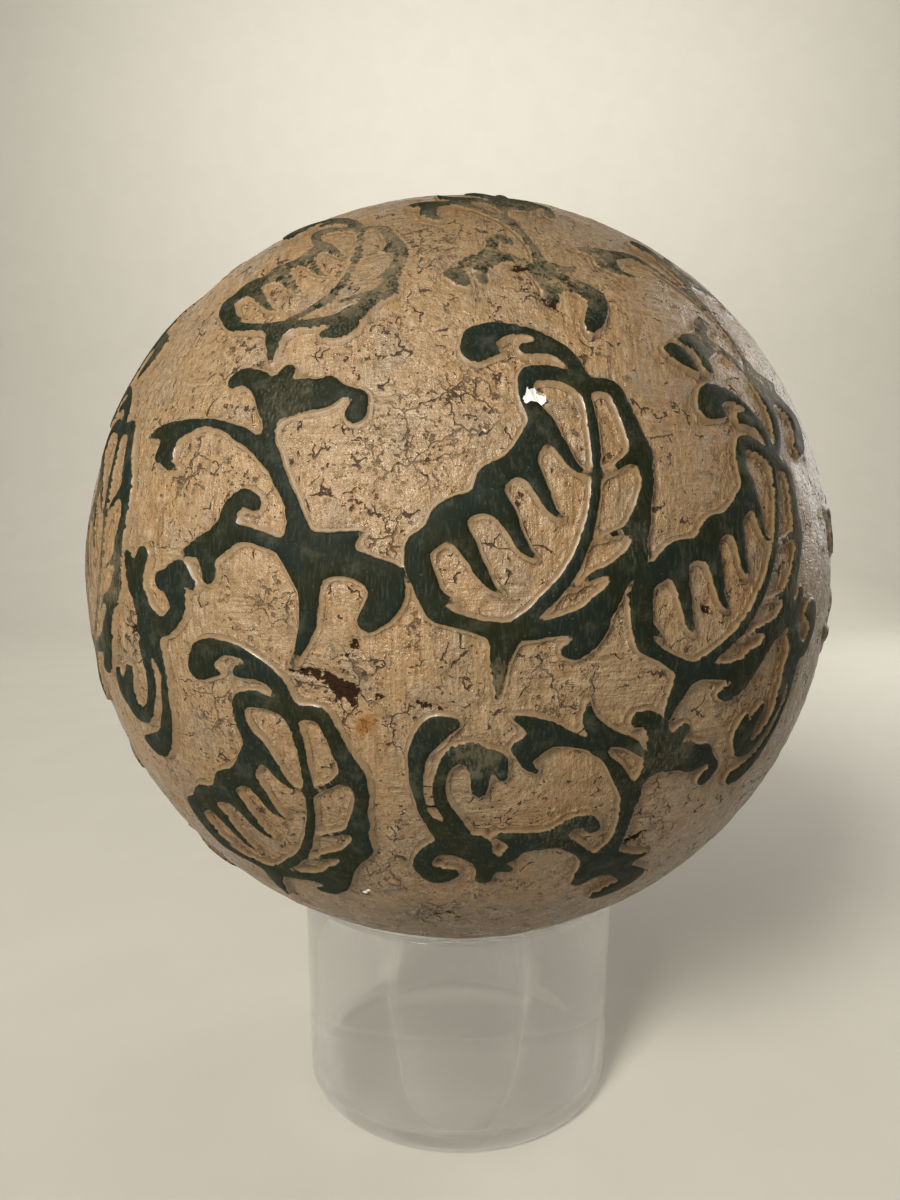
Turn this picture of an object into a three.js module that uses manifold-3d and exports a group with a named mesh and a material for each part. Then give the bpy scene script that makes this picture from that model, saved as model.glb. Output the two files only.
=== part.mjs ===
// Decorative sphere: a round cast ornament with raised foliage, resting on a clear glass stand.
// Millimetres, +Z up. The origin is the middle of the stand's underside; the front faces -Y.
import * as THREE from 'three';
import { mergeVertices } from 'three/addons/utils/BufferGeometryUtils.js';
import Module from 'manifold-3d';

// Ball
const BALL_RADIUS = 125; // over the raised foliage
const RELIEF = 1.6; // height of the foliage over the ground
const GROUND_RADIUS = BALL_RADIUS - RELIEF;
const GROUND_DETAIL = 5; // icosahedron subdivision of the ground
const TOP_STEP = 0.02; // each motif lies this much lower than the one before, where two of them meet
const LINE_STEPS = 4; // stretches of a rib's line between two of its points
const CORNER_BLEND = 2.2; // ribs closer than this flow into each other
const GRID = 1; // spacing of the grid on which an outline is found
const FINE_THINNING = 3; // an outline point goes if it shapes less than this area, in mm2
const PLAIN_THINNING = 7; // the same on the plainer motifs
const LONGEST_STRETCH = 18; // between two outline points
const SMALLEST_ISLAND = 6; // smaller openings in the foliage are closed, in mm2

// Glass stand
const STAND_HEIGHT = 72;
const RIM_RADIUS = 56; // outside, at the rim
const BASE_RADIUS = 54.6; // outside, just over the heel
const WALL = 3;
const FLOOR = 5;
const HEEL_RADIUS = 5;
const COVE_RADIUS = 3; // inside corner between wall and floor
const STAND_SEGMENTS = 40;
const ARC_STEPS = 2; // stretches of each rounded edge of the stand

// The ball rests on the rounded rim, with a hairline gap.
const GAP = 0.3;
const RIM_ROUND = WALL / 2;
const RIM_CENTRE_RADIUS = RIM_RADIUS - RIM_ROUND;
const REACH = GROUND_RADIUS + RIM_ROUND + GAP;
const BALL_CENTRE = STAND_HEIGHT - RIM_ROUND + Math.sqrt(REACH ** 2 - RIM_CENTRE_RADIUS ** 2);

const BALL_FINISH = { color: 0x8f7a5c, roughness: 0.6, metalness: 0 };
const GLASS_FINISH = { color: 0xe6efec, roughness: 0.05, metalness: 0, transparent: true, opacity: 0.35 };

const wasm = await Module();
wasm.setup();

function toSolid(geometry) {
  geometry.deleteAttribute('normal');
  geometry.deleteAttribute('uv');
  const merged = mergeVertices(geometry, 1e-4);
  return new wasm.Manifold(new wasm.Mesh({
    numProp: 3,
    vertProperties: new Float32Array(merged.attributes.position.array),
    triVerts: new Uint32Array(merged.index.array),
  }));
}

function toGeometry(solid) {
  const mesh = solid.getMesh();
  const geometry = new THREE.BufferGeometry();
  geometry.setAttribute('position', new THREE.BufferAttribute(mesh.vertProperties, 3));
  geometry.setIndex(new THREE.BufferAttribute(mesh.triVerts, 1));
  geometry.computeVertexNormals();
  return geometry;
}

// --- Motifs -------------------------------------------------------------------------------
// A motif is a list of ribs. A rib is a smooth line through a few points [x, y, half width],
// in mm on the ball's skin: x runs to the right and y up, as seen from outside the ball.

// The leaf's left rim is a row of scallops, and a curved finger runs from each towards the midrib.
// A form lists [share of the way, offset to the left, half width] from one end to the other.
const FINGER_ENDS = [
  { root: [4.2, 26], tip: [14, 15.6], weight: 3 },
  { root: [-1, 17.5], tip: [8.3, 5.2], weight: 3.3 },
  { root: [-8, 9.6], tip: [2.2, -3.7], weight: 3.7 },
  { root: [-17, 3.5], tip: [-5.6, -11.5], weight: 3.4 },
];
const FINGER_FORM = [
  [0, 0.4, 0.9], [0.23, 0.5, 0.66], [0.45, 0, 0.5], [0.67, -0.75, 0.38], [0.84, -0.85, 0.26], [1, 0, 0.08],
];
const SCALLOP_ENDS = [[-1.5, 17.5], [-10, 9], [-21, 1.2]];
const SCALLOP_FORM = [[0, -0.2, 1.9], [0.3, -1.4, 2.8], [0.62, -2, 3], [1, -0.2, 2]];

function formedRib([startX, startY], [endX, endY], form, weight = 1) {
  const [dx, dy] = [endX - startX, endY - startY];
  const length = Math.hypot(dx, dy);
  return form.map(([share, offset, half]) => [
    startX + share * dx - (offset * dy) / length,
    startY + share * dy + (offset * dx) / length,
    half * weight,
  ]);
}

function leafRibs() {
  const fingers = FINGER_ENDS.map(({ root, tip, weight }) => formedRib(root, tip, FINGER_FORM, weight));
  const scallops = SCALLOP_ENDS.slice(1).map((end, i) => formedRib(SCALLOP_ENDS[i], end, SCALLOP_FORM));
  return [
    [[15, 37, 1.1], [16.4, 27, 1.15], [16.4, 16, 1.1], [14.6, 4.5, 1.25], [9.8, -6.5, 1.4],
      [3.4, -13.6, 1.5], [-0.6, -17, 1.4], [-4.5, -21, 2.2]], // midrib
    [[-4.8, -21.2, 2.8], [-6, -26, 2.3], [-6.3, -35.5, 0.5]], // stalk
    [[15, 37, 1.5], [8, 39.7, 1.9], [2, 39, 2.1], [1.2, 33.5, 1.7], [4, 27, 2.6], [2.2, 23.5, 2.9],
      [0, 20.2, 2.6]], // tip hook
    [[-21, 1, 2.2], [-23.8, -0.6, 3], [-24.3, -4.5, 2.5], [-22.8, -8.8, 2.2],
      [-22.4, -11.5, 1.2]], // last scallop
    [[-24, -5, 2.4], [-22.2, -9, 2.2], [-19.5, -11.6, 1.2], [-15.2, -13.2, 0.3]], // last finger
    [[-22.6, -11, 1.8], [-20.4, -15, 2], [-16.5, -16.8, 1.8], [-12, -18.2, 1.5], [-8, -19.3, 1.8],
      [-5.5, -21, 2.2]], // lower rim
    [[15, 37.5, 1.5], [22, 37, 2], [24.2, 33, 1.9], [25.9, 28, 2.1], [28.2, 21, 2.5], [29.3, 15, 1.7],
      [28, 9, 1.9], [27, 3, 1.9], [26, -3, 2.4]], // right rim
    [[26, -3, 2.4], [22.5, -7.5, 2.2], [18.5, -13.2, 2.5], [13.3, -17.3, 2.7], [7, -18.8, 2.1],
      [0, -19.8, 1.8]], // right rim's end
    [[17, -15, 3], [15.5, -20, 2.8], [12, -23.8, 2.4], [8.8, -24.6, 1.3]], // heel curl
    [[14.8, 38, 1.2], [12.5, 43.6, 1.5], [8, 46.6, 1.9], [2, 46.2, 1.6]], // inner top curl
    [[14.6, 40, 1.1], [12.2, 44.6, 1.3], [8, 48.4, 1.3], [3, 51.2, 1.2], [-3, 51.7, 2.1],
      [-8.5, 49.2, 3.7], [-10, 46, 3.4]], // outer top curl
    [[-9.5, 46, 2.6], [-6, 45.4, 1.4], [-3.6, 45.3, 0.5]], // barb of the outer curl
    [[28, 21, 2.2], [24, 19, 1], [21, 17, 0.75], [17.6, 15, 0.3]], // upper tongue
    [[27, 6, 2.2], [24, 3.2, 1.1], [20.5, 2, 0.6], [16.3, 0.5, 0.3]], // middle tongue
    [[24, -5, 2.6], [20, -6, 1.5], [15.5, -7.3, 0.8], [11, -10.3, 0.3]], // lower tongue
    ...fingers,
    ...scallops,
  ];
}

// A branch either ends in a long tail, or stops short at its palm and carries a leaflet on its twig.
function branchRibs({ tail }) {
  const tailEnd = [[9, -33, 1.9], [4, -42.8, 0.4]];
  const leaflet = [
    [[-32, 27, 0.4], [-28, 22.5, 1.8], [-21, 20.8, 2.1], [-14, 20.8, 1.6], [-9, 19.3, 0.6]],
    [[-24, 20, 1.6], [-21, 17, 1.4]],
  ];
  return [
    [[-3, 19, 2.6], [-3.5, 12, 1.6], [-1.5, 6, 2.1], [2, 0.3, 1.9], [5, -5, 1.9], [7.5, -13, 3],
      [9.7, -24, 2.6], ...(tail ? tailEnd : [])], // main stem
    [[-2, 6.5, 2.2], [-9, 11.3, 1.9], [-17, 15.2, 1.3], [-25, 17, 1.2], [-34, 16, 2.8], [-41, 16.6, 1.9],
      [-46, 16.3, 0.4]], // twig with its pointed end
    [[-36, 15, 3], [-36.5, 10.5, 2.8], [-34.8, 7, 1.5], [-31, 5.8, 0.5]], // drop under the twig's end
    [[-37, 12, 2.4], [-39.3, 10, 1.7]], // lobe of the drop
    [[-4, 20, 3.2], [-9, 26, 2.9], [-14, 28.2, 2.2], [-16.7, 27.2, 2.2]], // crown, left
    [[-4, 21, 3.2], [-1.5, 28, 2.2]], // crown, middle
    [[-3, 19.5, 3.4], [3, 21, 3.8], [10, 22.1, 3.2], [15, 22.3, 1.5], [18.4, 20.5, 1.8],
      [18, 17, 2.6]], // crown, right
    [[7, -15, 4], [14, -13.5, 2.7], [18, -12.6, 2], [22.5, -10.2, 0.4]], // palm, pointed leaf
    [[9, -17, 4], [15, -16, 2], [20, -14.8, 0.4]], // palm, barb
    [[9, -20, 3.6], [15, -18, 2.7], [22, -18.8, 2.6], [28, -22, 3.9], [27, -26.5, 3.8],
      [24, -30.3, 2.6]], // palm, curl
    [[22, -18, 2.2], [29, -20, 2.4]], // palm, shoulder of the curl
    [[7, -17.5, 2.4], [2, -14.2, 1.7], [-5, -11.8, 1.8], [-10, -11.4, 2.2], [-15, -12.8, 3],
      [-21, -14.3, 2.4], [-26.5, -15.6, 0.5]], // arm
    [[-15, -12.5, 3], [-18, -17, 2.5], [-17.6, -21, 2.2]], // arm, lower lobe
    [[-13, -11, 2.6], [-11.8, -5.5, 2.3], [-8.5, -2.9, 2.2], [-5, -4.2, 2]], // arm, upper curl
    [[-32.5, -20, 0.8], [-27.5, -20.3, 3], [-22.5, -24, 0.6]], // loose bract
    ...(tail ? [] : leaflet),
  ];
}

function scrollRibs() {
  return [
    [[-20.5, 19.4, 1.6], [-24.3, 17.8, 3.2], [-27.8, 12, 2.4], [-28.4, 5, 1.7], [-27.2, -1.5, 1.3],
      [-25.6, -6.5, 1.1], [-21, -12, 2.6], [-16, -16.5, 3], [-8, -22.5, 2.6], [-4, -25, 1.2]], // outer sweep
    [[-13.5, 1.8, 1.8], [-13.6, 7, 2.4], [-15.8, 11.5, 2.8], [-20.3, 10.6, 2.1], [-22.6, 5, 1.4],
      [-22.4, -1, 1.7], [-19.6, -6.5, 1.9], [-17, -12, 2.6]], // inner curl
    [[-15, 11.5, 2.6], [-10, 10, 2.4], [-8.3, 6, 1.3]], // lobe on the curl
    [[-18, -16, 3], [-23.5, -18, 2.2], [-25.5, -24, 2.4], [-22, -28, 3.3], [-18.3, -27, 2.2]], // bud
    [[-10, -21, 2.4], [-9.8, -28.5, 2.2]], // stub
  ];
}

// Each placement: longitude (0 faces the front, + to the right), latitude and turn, in degrees,
// then size, stretch sideways and lean to the right with height. The sprays on the front are
// traced finely, the ones near the rim of the view and behind more plainly.
const LAYOUT = [
  { ribs: leafRibs(), thinning: FINE_THINNING, places: [
    [7, 6, 0, 1, 1, 0],
    [30.6, 0.3, -11.4, 0.99, 1, 0.055],
    [-27.1, -28.9, -3, 1.017, 1.0325, 0.02],
  ] },
  { ribs: branchRibs({ tail: true }), thinning: FINE_THINNING, places: [
    [-20, 12, 0, 1, 1, 0],
  ] },
  { ribs: branchRibs({ tail: false }), thinning: FINE_THINNING, places: [
    [20.8, -26.6, -21.7, 0.97, 0.99, 0.16],
  ] },
  { ribs: scrollRibs(), thinning: FINE_THINNING, places: [
    [9, -22, 0, 1, 1, 0],
  ] },
  { ribs: leafRibs(), thinning: PLAIN_THINNING, places: [
    [-24.2, 37.9, 0.5, 0.833, 1.14, -0.244],
    [-58.8, 1.4, 3.6, 1.07, 1, 0],
    [106, 12, 0, 1, 1, 0],
    [150, -16, -5, 1, 1, 0],
    [196, 16, 0, 1, 1, 0],
    [242, -6, 5, 1, 1, 0],
  ] },
  { ribs: branchRibs({ tail: true }), thinning: PLAIN_THINNING, places: [
    [43.4, 34.5, -17.4, 0.94, 0.95, -0.15],
    [78, -2, -14, 0.95, 1, 0],
    [-70, 42, 6, 0.95, 1, 0],
    [-78, -36, 0, 0.95, 1, 0],
    [144, 34, -10, 1, 1, 0],
    [204, -34, 0, 1, 1, 0],
    [248, 44, 0, 1, 1, 0],
  ] },
  { ribs: branchRibs({ tail: false }), thinning: PLAIN_THINNING, places: [
    [10.7, 47.7, -9.6, 0.83, 0.75, -0.12],
  ] },
  { ribs: scrollRibs(), thinning: PLAIN_THINNING, places: [
    [-50.8, -5.6, 151.7, 1.13, 1.05, 0],
    [35.8, -10.9, 150.8, 0.97, 0.9125, 0],
    [104, -36, 0, 1, 1, 0],
  ] },
];

// --- From ribs to outlines --------------------------------------------------------------------

// Points along a rib's smooth line, with x and y in the plane and the half width as z.
function ribLine(points) {
  const knots = points.map((point) => new THREE.Vector3(...point));
  const curve = new THREE.CatmullRomCurve3(knots, false, 'catmullrom', 0.5);
  return curve.getPoints((points.length - 1) * LINE_STEPS);
}

// How far a place lies outside one rib; inside it the value is negative.
function outsideRib(line, x, y) {
  let least = Infinity;
  for (let i = 0; i < line.length - 1; i += 1) {
    const [a, b] = [line[i], line[i + 1]];
    const [dx, dy] = [b.x - a.x, b.y - a.y];
    const t = THREE.MathUtils.clamp(((x - a.x) * dx + (y - a.y) * dy) / (dx * dx + dy * dy), 0, 1);
    const gap = Math.hypot(x - a.x - t * dx, y - a.y - t * dy) - (a.z + t * (b.z - a.z));
    least = Math.min(least, gap);
  }
  return least;
}

// The same for a whole motif, whose ribs flow into each other with rounded inner corners.
function outsideDistance(lines, x, y) {
  return lines.map((line) => outsideRib(line, x, y)).reduce((joined, gap) => {
    const near = Math.max(CORNER_BLEND - Math.abs(joined - gap), 0) / CORNER_BLEND;
    return Math.min(joined, gap) - (near * near * CORNER_BLEND) / 4;
  });
}

// Closed outlines of the foliage, found on a square grid, with the foliage on their left.
function traceOutlines(ribs, thinning) {
  const lines = ribs.map(ribLine);
  const everyPoint = lines.flat();
  const low = (axis) => Math.floor(Math.min(...everyPoint.map((p) => p[axis] - p.z)) / GRID - 1) * GRID;
  const high = (axis) => Math.max(...everyPoint.map((p) => p[axis] + p.z)) + GRID;
  const [left, bottom] = [low('x'), low('y')];
  const columns = Math.ceil((high('x') - left) / GRID) + 1;
  const rows = Math.ceil((high('y') - bottom) / GRID) + 1;
  const corner = (column, row) => ({
    key: row * columns + column,
    x: left + column * GRID,
    y: bottom + row * GRID,
  });
  const values = [];
  for (let row = 0; row < rows; row += 1) {
    for (let column = 0; column < columns; column += 1) {
      const { x, y } = corner(column, row);
      values.push(outsideDistance(lines, x, y) || GRID * 1e-3);
    }
  }
  // Each grid triangle that the outline crosses gives one short stretch of it.
  const next = new Map();
  const crossing = (a, b) => {
    const t = values[a.key] / (values[a.key] - values[b.key]);
    const key = [a.key, b.key].sort((p, q) => p - q).join();
    return { key, x: a.x + t * (b.x - a.x), y: a.y + t * (b.y - a.y) };
  };
  const visit = (triangle) => {
    const inside = triangle.map((c) => values[c.key] < 0);
    const count = inside.filter(Boolean).length;
    if (count === 0 || count === 3) return;
    const odd = inside.indexOf(count === 1);
    const [tip, after, before] = [triangle[odd], triangle[(odd + 1) % 3], triangle[(odd + 2) % 3]];
    const [start, end] = [crossing(tip, after), crossing(tip, before)];
    if (count === 1) next.set(start.key, { ...start, to: end.key });
    else next.set(end.key, { ...end, to: start.key });
  };
  for (let row = 0; row < rows - 1; row += 1) {
    for (let column = 0; column < columns - 1; column += 1) {
      const [a, b] = [corner(column, row), corner(column + 1, row)];
      const [c, d] = [corner(column + 1, row + 1), corner(column, row + 1)];
      visit([a, b, c]);
      visit([a, c, d]);
    }
  }
  const loops = [];
  while (next.size > 0) {
    const loop = [];
    let point = next.values().next().value;
    while (point) {
      next.delete(point.key);
      loop.push(new THREE.Vector2(point.x, point.y));
      point = next.get(point.to);
    }
    loops.push(thinned(loop, thinning));
  }
  return loops.filter((loop) => Math.abs(THREE.ShapeUtils.area(loop)) > SMALLEST_ISLAND);
}

// Drops the points that shape the outline least, while no stretch grows too long.
function thinned(loop, thinning) {
  const points = [...loop];
  while (points.length > 4) {
    const cost = points.map((point, i) => {
      const before = points[(i + points.length - 1) % points.length];
      const after = points[(i + 1) % points.length];
      if (before.distanceTo(after) > LONGEST_STRETCH) return Infinity;
      return Math.abs(THREE.ShapeUtils.area([before, point, after]));
    });
    const least = Math.min(...cost);
    if (least > thinning) break;
    points.splice(cost.indexOf(least), 1);
  }
  return points;
}

function holds(loop, point) {
  let inside = false;
  loop.forEach((a, i) => {
    const b = loop[(i + 1) % loop.length];
    const level = (a.y > point.y) !== (b.y > point.y);
    if (level && point.x < a.x + ((b.x - a.x) * (point.y - a.y)) / (b.y - a.y)) inside = !inside;
  });
  return inside;
}

// Each outer outline with the openings inside it.
function motifPlates(ribs, thinning) {
  const loops = traceOutlines(ribs, thinning);
  const outer = loops.filter((loop) => THREE.ShapeUtils.area(loop) > 0);
  const openings = loops.filter((loop) => THREE.ShapeUtils.area(loop) < 0);
  return outer.map((loop) => [loop, ...openings.filter((opening) => holds(loop, opening[0]))]);
}

// --- From outlines to the ball's skin -----------------------------------------------------------

function skinFrame({ longitude, latitude, turn }) {
  const lon = THREE.MathUtils.degToRad(longitude);
  const lat = THREE.MathUtils.degToRad(latitude);
  const spin = THREE.MathUtils.degToRad(turn);
  const out = new THREE.Vector3(Math.cos(lat) * Math.sin(lon), -Math.cos(lat) * Math.cos(lon), Math.sin(lat));
  const east = new THREE.Vector3(Math.cos(lon), Math.sin(lon), 0);
  const north = new THREE.Vector3().crossVectors(out, east);
  return { out, east: east.applyAxisAngle(out, spin), north: north.applyAxisAngle(out, spin) };
}

// Direction from the ball's centre to a motif point, keeping its true distance from the motif's origin.
function skinDirection(frame, x, y) {
  const distance = Math.hypot(x, y);
  const angle = distance / BALL_RADIUS;
  const along = Math.sin(angle) / Math.max(distance, 1e-9);
  return frame.out.clone().multiplyScalar(Math.cos(angle))
    .addScaledVector(frame.east, x * along)
    .addScaledVector(frame.north, y * along);
}

// A closed wedge from the ball's centre up to the foliage's top, so that each wall is one flat triangle.
function plateGeometry(loops, place, topRadius) {
  const frame = skinFrame(place);
  const { size, wide, lean } = place;
  const top = loops.flat().map(({ x, y }) => (
    skinDirection(frame, size * (wide * x + lean * y), (size * y) / wide).multiplyScalar(topRadius)
  ));
  const apex = top.length;
  const faces = THREE.ShapeUtils.triangulateShape(loops[0], loops.slice(1)).flat();
  let start = 0;
  loops.forEach((loop) => {
    loop.forEach((point, i) => faces.push(start + i, apex, start + ((i + 1) % loop.length)));
    start += loop.length;
  });
  const geometry = new THREE.BufferGeometry().setFromPoints([...top, new THREE.Vector3()]);
  geometry.setIndex(faces);
  return geometry;
}

function ballSolid() {
  let ball = toSolid(new THREE.IcosahedronGeometry(GROUND_RADIUS, GROUND_DETAIL));
  let topRadius = BALL_RADIUS;
  LAYOUT.forEach(({ ribs, thinning, places }) => {
    const plates = motifPlates(ribs, thinning);
    places.forEach(([longitude, latitude, turn, size, wide, lean]) => {
      const place = { longitude, latitude, turn, size, wide, lean };
      plates.forEach((loops) => {
        ball = ball.add(toSolid(plateGeometry(loops, place, topRadius)));
      });
      topRadius -= TOP_STEP;
    });
  });
  return ball;
}

// --- Glass stand ------------------------------------------------------------------------------

function arc(centreX, centreY, radius, fromDegrees, toDegrees) {
  const points = [];
  for (let i = 0; i <= ARC_STEPS; i += 1) {
    const angle = THREE.MathUtils.degToRad(fromDegrees + ((toDegrees - fromDegrees) * i) / ARC_STEPS);
    points.push(new THREE.Vector2(centreX + radius * Math.cos(angle), centreY + radius * Math.sin(angle)));
  }
  return points;
}

function standGeometry() {
  const coveRadius = BASE_RADIUS - WALL - COVE_RADIUS;
  const profile = [
    new THREE.Vector2(0, 0),
    ...arc(BASE_RADIUS - HEEL_RADIUS, HEEL_RADIUS, HEEL_RADIUS, -90, 0),
    ...arc(RIM_CENTRE_RADIUS, STAND_HEIGHT - RIM_ROUND, RIM_ROUND, 0, 180),
    ...arc(coveRadius, FLOOR + COVE_RADIUS, COVE_RADIUS, 0, -90),
    new THREE.Vector2(0, FLOOR),
  ];
  return new THREE.LatheGeometry(profile, STAND_SEGMENTS).rotateX(Math.PI / 2);
}

// --- The whole ornament -------------------------------------------------------------------------

function piece(name, geometry, finish) {
  const mesh = new THREE.Mesh(geometry, new THREE.MeshStandardMaterial(finish));
  mesh.name = name;
  return mesh;
}

const group = new THREE.Group();
const ball = piece('ball', toGeometry(ballSolid()), BALL_FINISH);
ball.position.z = BALL_CENTRE;
group.add(ball);
group.add(piece('glass_stand', toGeometry(toSolid(standGeometry())), GLASS_FINISH));

export default group;
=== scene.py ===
"""Decorative sphere: finish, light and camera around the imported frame.

The ball is a cast body whose ground is cut away around raised dark foliage. It rests on the
rounded rim of a clear glass stand. The piece's own sizes are in millimetres, and its meshes
are written in metres, in the frame's own axes. The floor and the lights are in metres.
"""
import math

import bpy
import numpy as np
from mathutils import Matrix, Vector, noise


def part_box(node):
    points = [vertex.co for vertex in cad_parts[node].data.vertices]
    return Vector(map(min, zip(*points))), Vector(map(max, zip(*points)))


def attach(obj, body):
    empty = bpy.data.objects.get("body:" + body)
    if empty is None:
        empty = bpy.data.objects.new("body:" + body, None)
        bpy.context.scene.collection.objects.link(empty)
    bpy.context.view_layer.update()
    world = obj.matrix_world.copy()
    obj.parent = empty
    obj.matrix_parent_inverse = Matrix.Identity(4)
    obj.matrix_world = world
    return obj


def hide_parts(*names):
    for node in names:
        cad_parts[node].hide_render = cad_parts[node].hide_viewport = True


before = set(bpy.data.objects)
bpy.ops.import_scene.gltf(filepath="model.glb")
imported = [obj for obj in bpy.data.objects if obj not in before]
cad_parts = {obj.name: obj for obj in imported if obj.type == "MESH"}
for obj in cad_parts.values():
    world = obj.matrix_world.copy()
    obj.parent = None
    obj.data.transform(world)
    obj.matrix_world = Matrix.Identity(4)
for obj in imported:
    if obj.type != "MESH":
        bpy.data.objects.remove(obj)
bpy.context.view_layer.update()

MM = 0.001
ball_low, ball_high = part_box("ball")
stand_low, stand_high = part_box("glass_stand")
BALL_CENTRE = (ball_low[2] + ball_high[2]) / 2 / MM
BALL_RADIUS = 125.0  # over the foliage
RELIEF = 1.25  # height of the foliage over the ground
WALL_RUN = 1.0  # how far a foliage wall leans out on its way down
STAND_HEIGHT = (stand_high[2] - stand_low[2]) / MM
RIM_RADIUS = (stand_high[0] - stand_low[0]) / 2 / MM
BASE_TAPER = 1.4  # the stand is this much narrower just over its heel
WALL = 3.0
FLOOR = 5.0
HEEL_RADIUS = 5.0
COVE_RADIUS = 3.0
STAND_SEGMENTS = 128

TOP_CLEARANCE = 0.35  # the foliage's tops stay this far under the ball's full radius
SPLIT_DEPTH = 1.1
CHIP_DEPTH = 0.8
REFINED_BAND = 2.6  # faces this close to the middle of a wall are made finer
FAR = 9.0  # the outline distance is kept up to this far, in mm
CORNER_BLEND = 2.2  # ribs closer than this flow into each other

# --- Foliage outlines ---------------------------------------------------------------------
# A motif is a list of ribs. A rib is a smooth line through a few points (x, y, half width) in
# mm on the ball's skin, x to the right and y up as seen from outside.

# The leaf's left rim is a row of scallops, and a curved finger runs from each towards the midrib.
# A form lists (share of the way, offset to the left, half width) from one end to the other.
FINGER_ENDS = [
    ((4.2, 26), (14, 15.6), 3),
    ((-1, 17.5), (8.3, 5.2), 3.3),
    ((-8, 9.6), (2.2, -3.7), 3.7),
    ((-17, 3.5), (-5.6, -11.5), 3.4),
]
FINGER_FORM = [(0, 0.4, 0.9), (0.23, 0.5, 0.66), (0.45, 0, 0.5), (0.67, -0.75, 0.38), (0.84, -0.85, 0.26),
               (1, 0, 0.08)]
SCALLOP_ENDS = [(-1.5, 17.5), (-10, 9), (-21, 1.2)]
SCALLOP_FORM = [(0, -0.2, 1.9), (0.3, -1.4, 2.8), (0.62, -2, 3), (1, -0.2, 2)]


def formed_rib(start, end, form, weight=1):
    dx, dy = end[0] - start[0], end[1] - start[1]
    length = math.hypot(dx, dy)
    return [(start[0] + share * dx - offset * dy / length, start[1] + share * dy + offset * dx / length,
             half * weight) for share, offset, half in form]


def leaf_ribs():
    fingers = [formed_rib(root, tip, FINGER_FORM, weight) for root, tip, weight in FINGER_ENDS]
    scallops = [formed_rib(a, b, SCALLOP_FORM) for a, b in zip(SCALLOP_ENDS[:-1], SCALLOP_ENDS[1:])]
    return [
        [(15, 37, 1.1), (16.4, 27, 1.15), (16.4, 16, 1.1), (14.6, 4.5, 1.25), (9.8, -6.5, 1.4),
         (3.4, -13.6, 1.5), (-0.6, -17, 1.4), (-4.5, -21, 2.2)],  # midrib
        [(-4.8, -21.2, 2.8), (-6, -26, 2.3), (-6.3, -35.5, 0.5)],  # stalk
        [(15, 37, 1.5), (8, 39.7, 1.9), (2, 39, 2.1), (1.2, 33.5, 1.7), (4, 27, 2.6), (2.2, 23.5, 2.9),
         (0, 20.2, 2.6)],  # tip hook
        [(-21, 1, 2.2), (-23.8, -0.6, 3), (-24.3, -4.5, 2.5), (-22.8, -8.8, 2.2), (-22.4, -11.5, 1.2)],
        [(-24, -5, 2.4), (-22.2, -9, 2.2), (-19.5, -11.6, 1.2), (-15.2, -13.2, 0.3)],  # last finger
        [(-22.6, -11, 1.8), (-20.4, -15, 2), (-16.5, -16.8, 1.8), (-12, -18.2, 1.5), (-8, -19.3, 1.8),
         (-5.5, -21, 2.2)],  # lower rim
        [(15, 37.5, 1.5), (22, 37, 2), (24.2, 33, 1.9), (25.9, 28, 2.1), (28.2, 21, 2.5), (29.3, 15, 1.7),
         (28, 9, 1.9), (27, 3, 1.9), (26, -3, 2.4)],  # right rim
        [(26, -3, 2.4), (22.5, -7.5, 2.2), (18.5, -13.2, 2.5), (13.3, -17.3, 2.7), (7, -18.8, 2.1),
         (0, -19.8, 1.8)],  # right rim's end
        [(17, -15, 3), (15.5, -20, 2.8), (12, -23.8, 2.4), (8.8, -24.6, 1.3)],  # heel curl
        [(14.8, 38, 1.2), (12.5, 43.6, 1.5), (8, 46.6, 1.9), (2, 46.2, 1.6)],  # inner top curl
        [(14.6, 40, 1.1), (12.2, 44.6, 1.3), (8, 48.4, 1.3), (3, 51.2, 1.2), (-3, 51.7, 2.1),
         (-8.5, 49.2, 3.7), (-10, 46, 3.4)],  # outer top curl
        [(-9.5, 46, 2.6), (-6, 45.4, 1.4), (-3.6, 45.3, 0.5)],  # barb of the outer curl
        [(28, 21, 2.2), (24, 19, 1), (21, 17, 0.75), (17.6, 15, 0.3)],  # upper tongue
        [(27, 6, 2.2), (24, 3.2, 1.1), (20.5, 2, 0.6), (16.3, 0.5, 0.3)],  # middle tongue
        [(24, -5, 2.6), (20, -6, 1.5), (15.5, -7.3, 0.8), (11, -10.3, 0.3)],  # lower tongue
        *fingers,
        *scallops,
    ]


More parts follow.
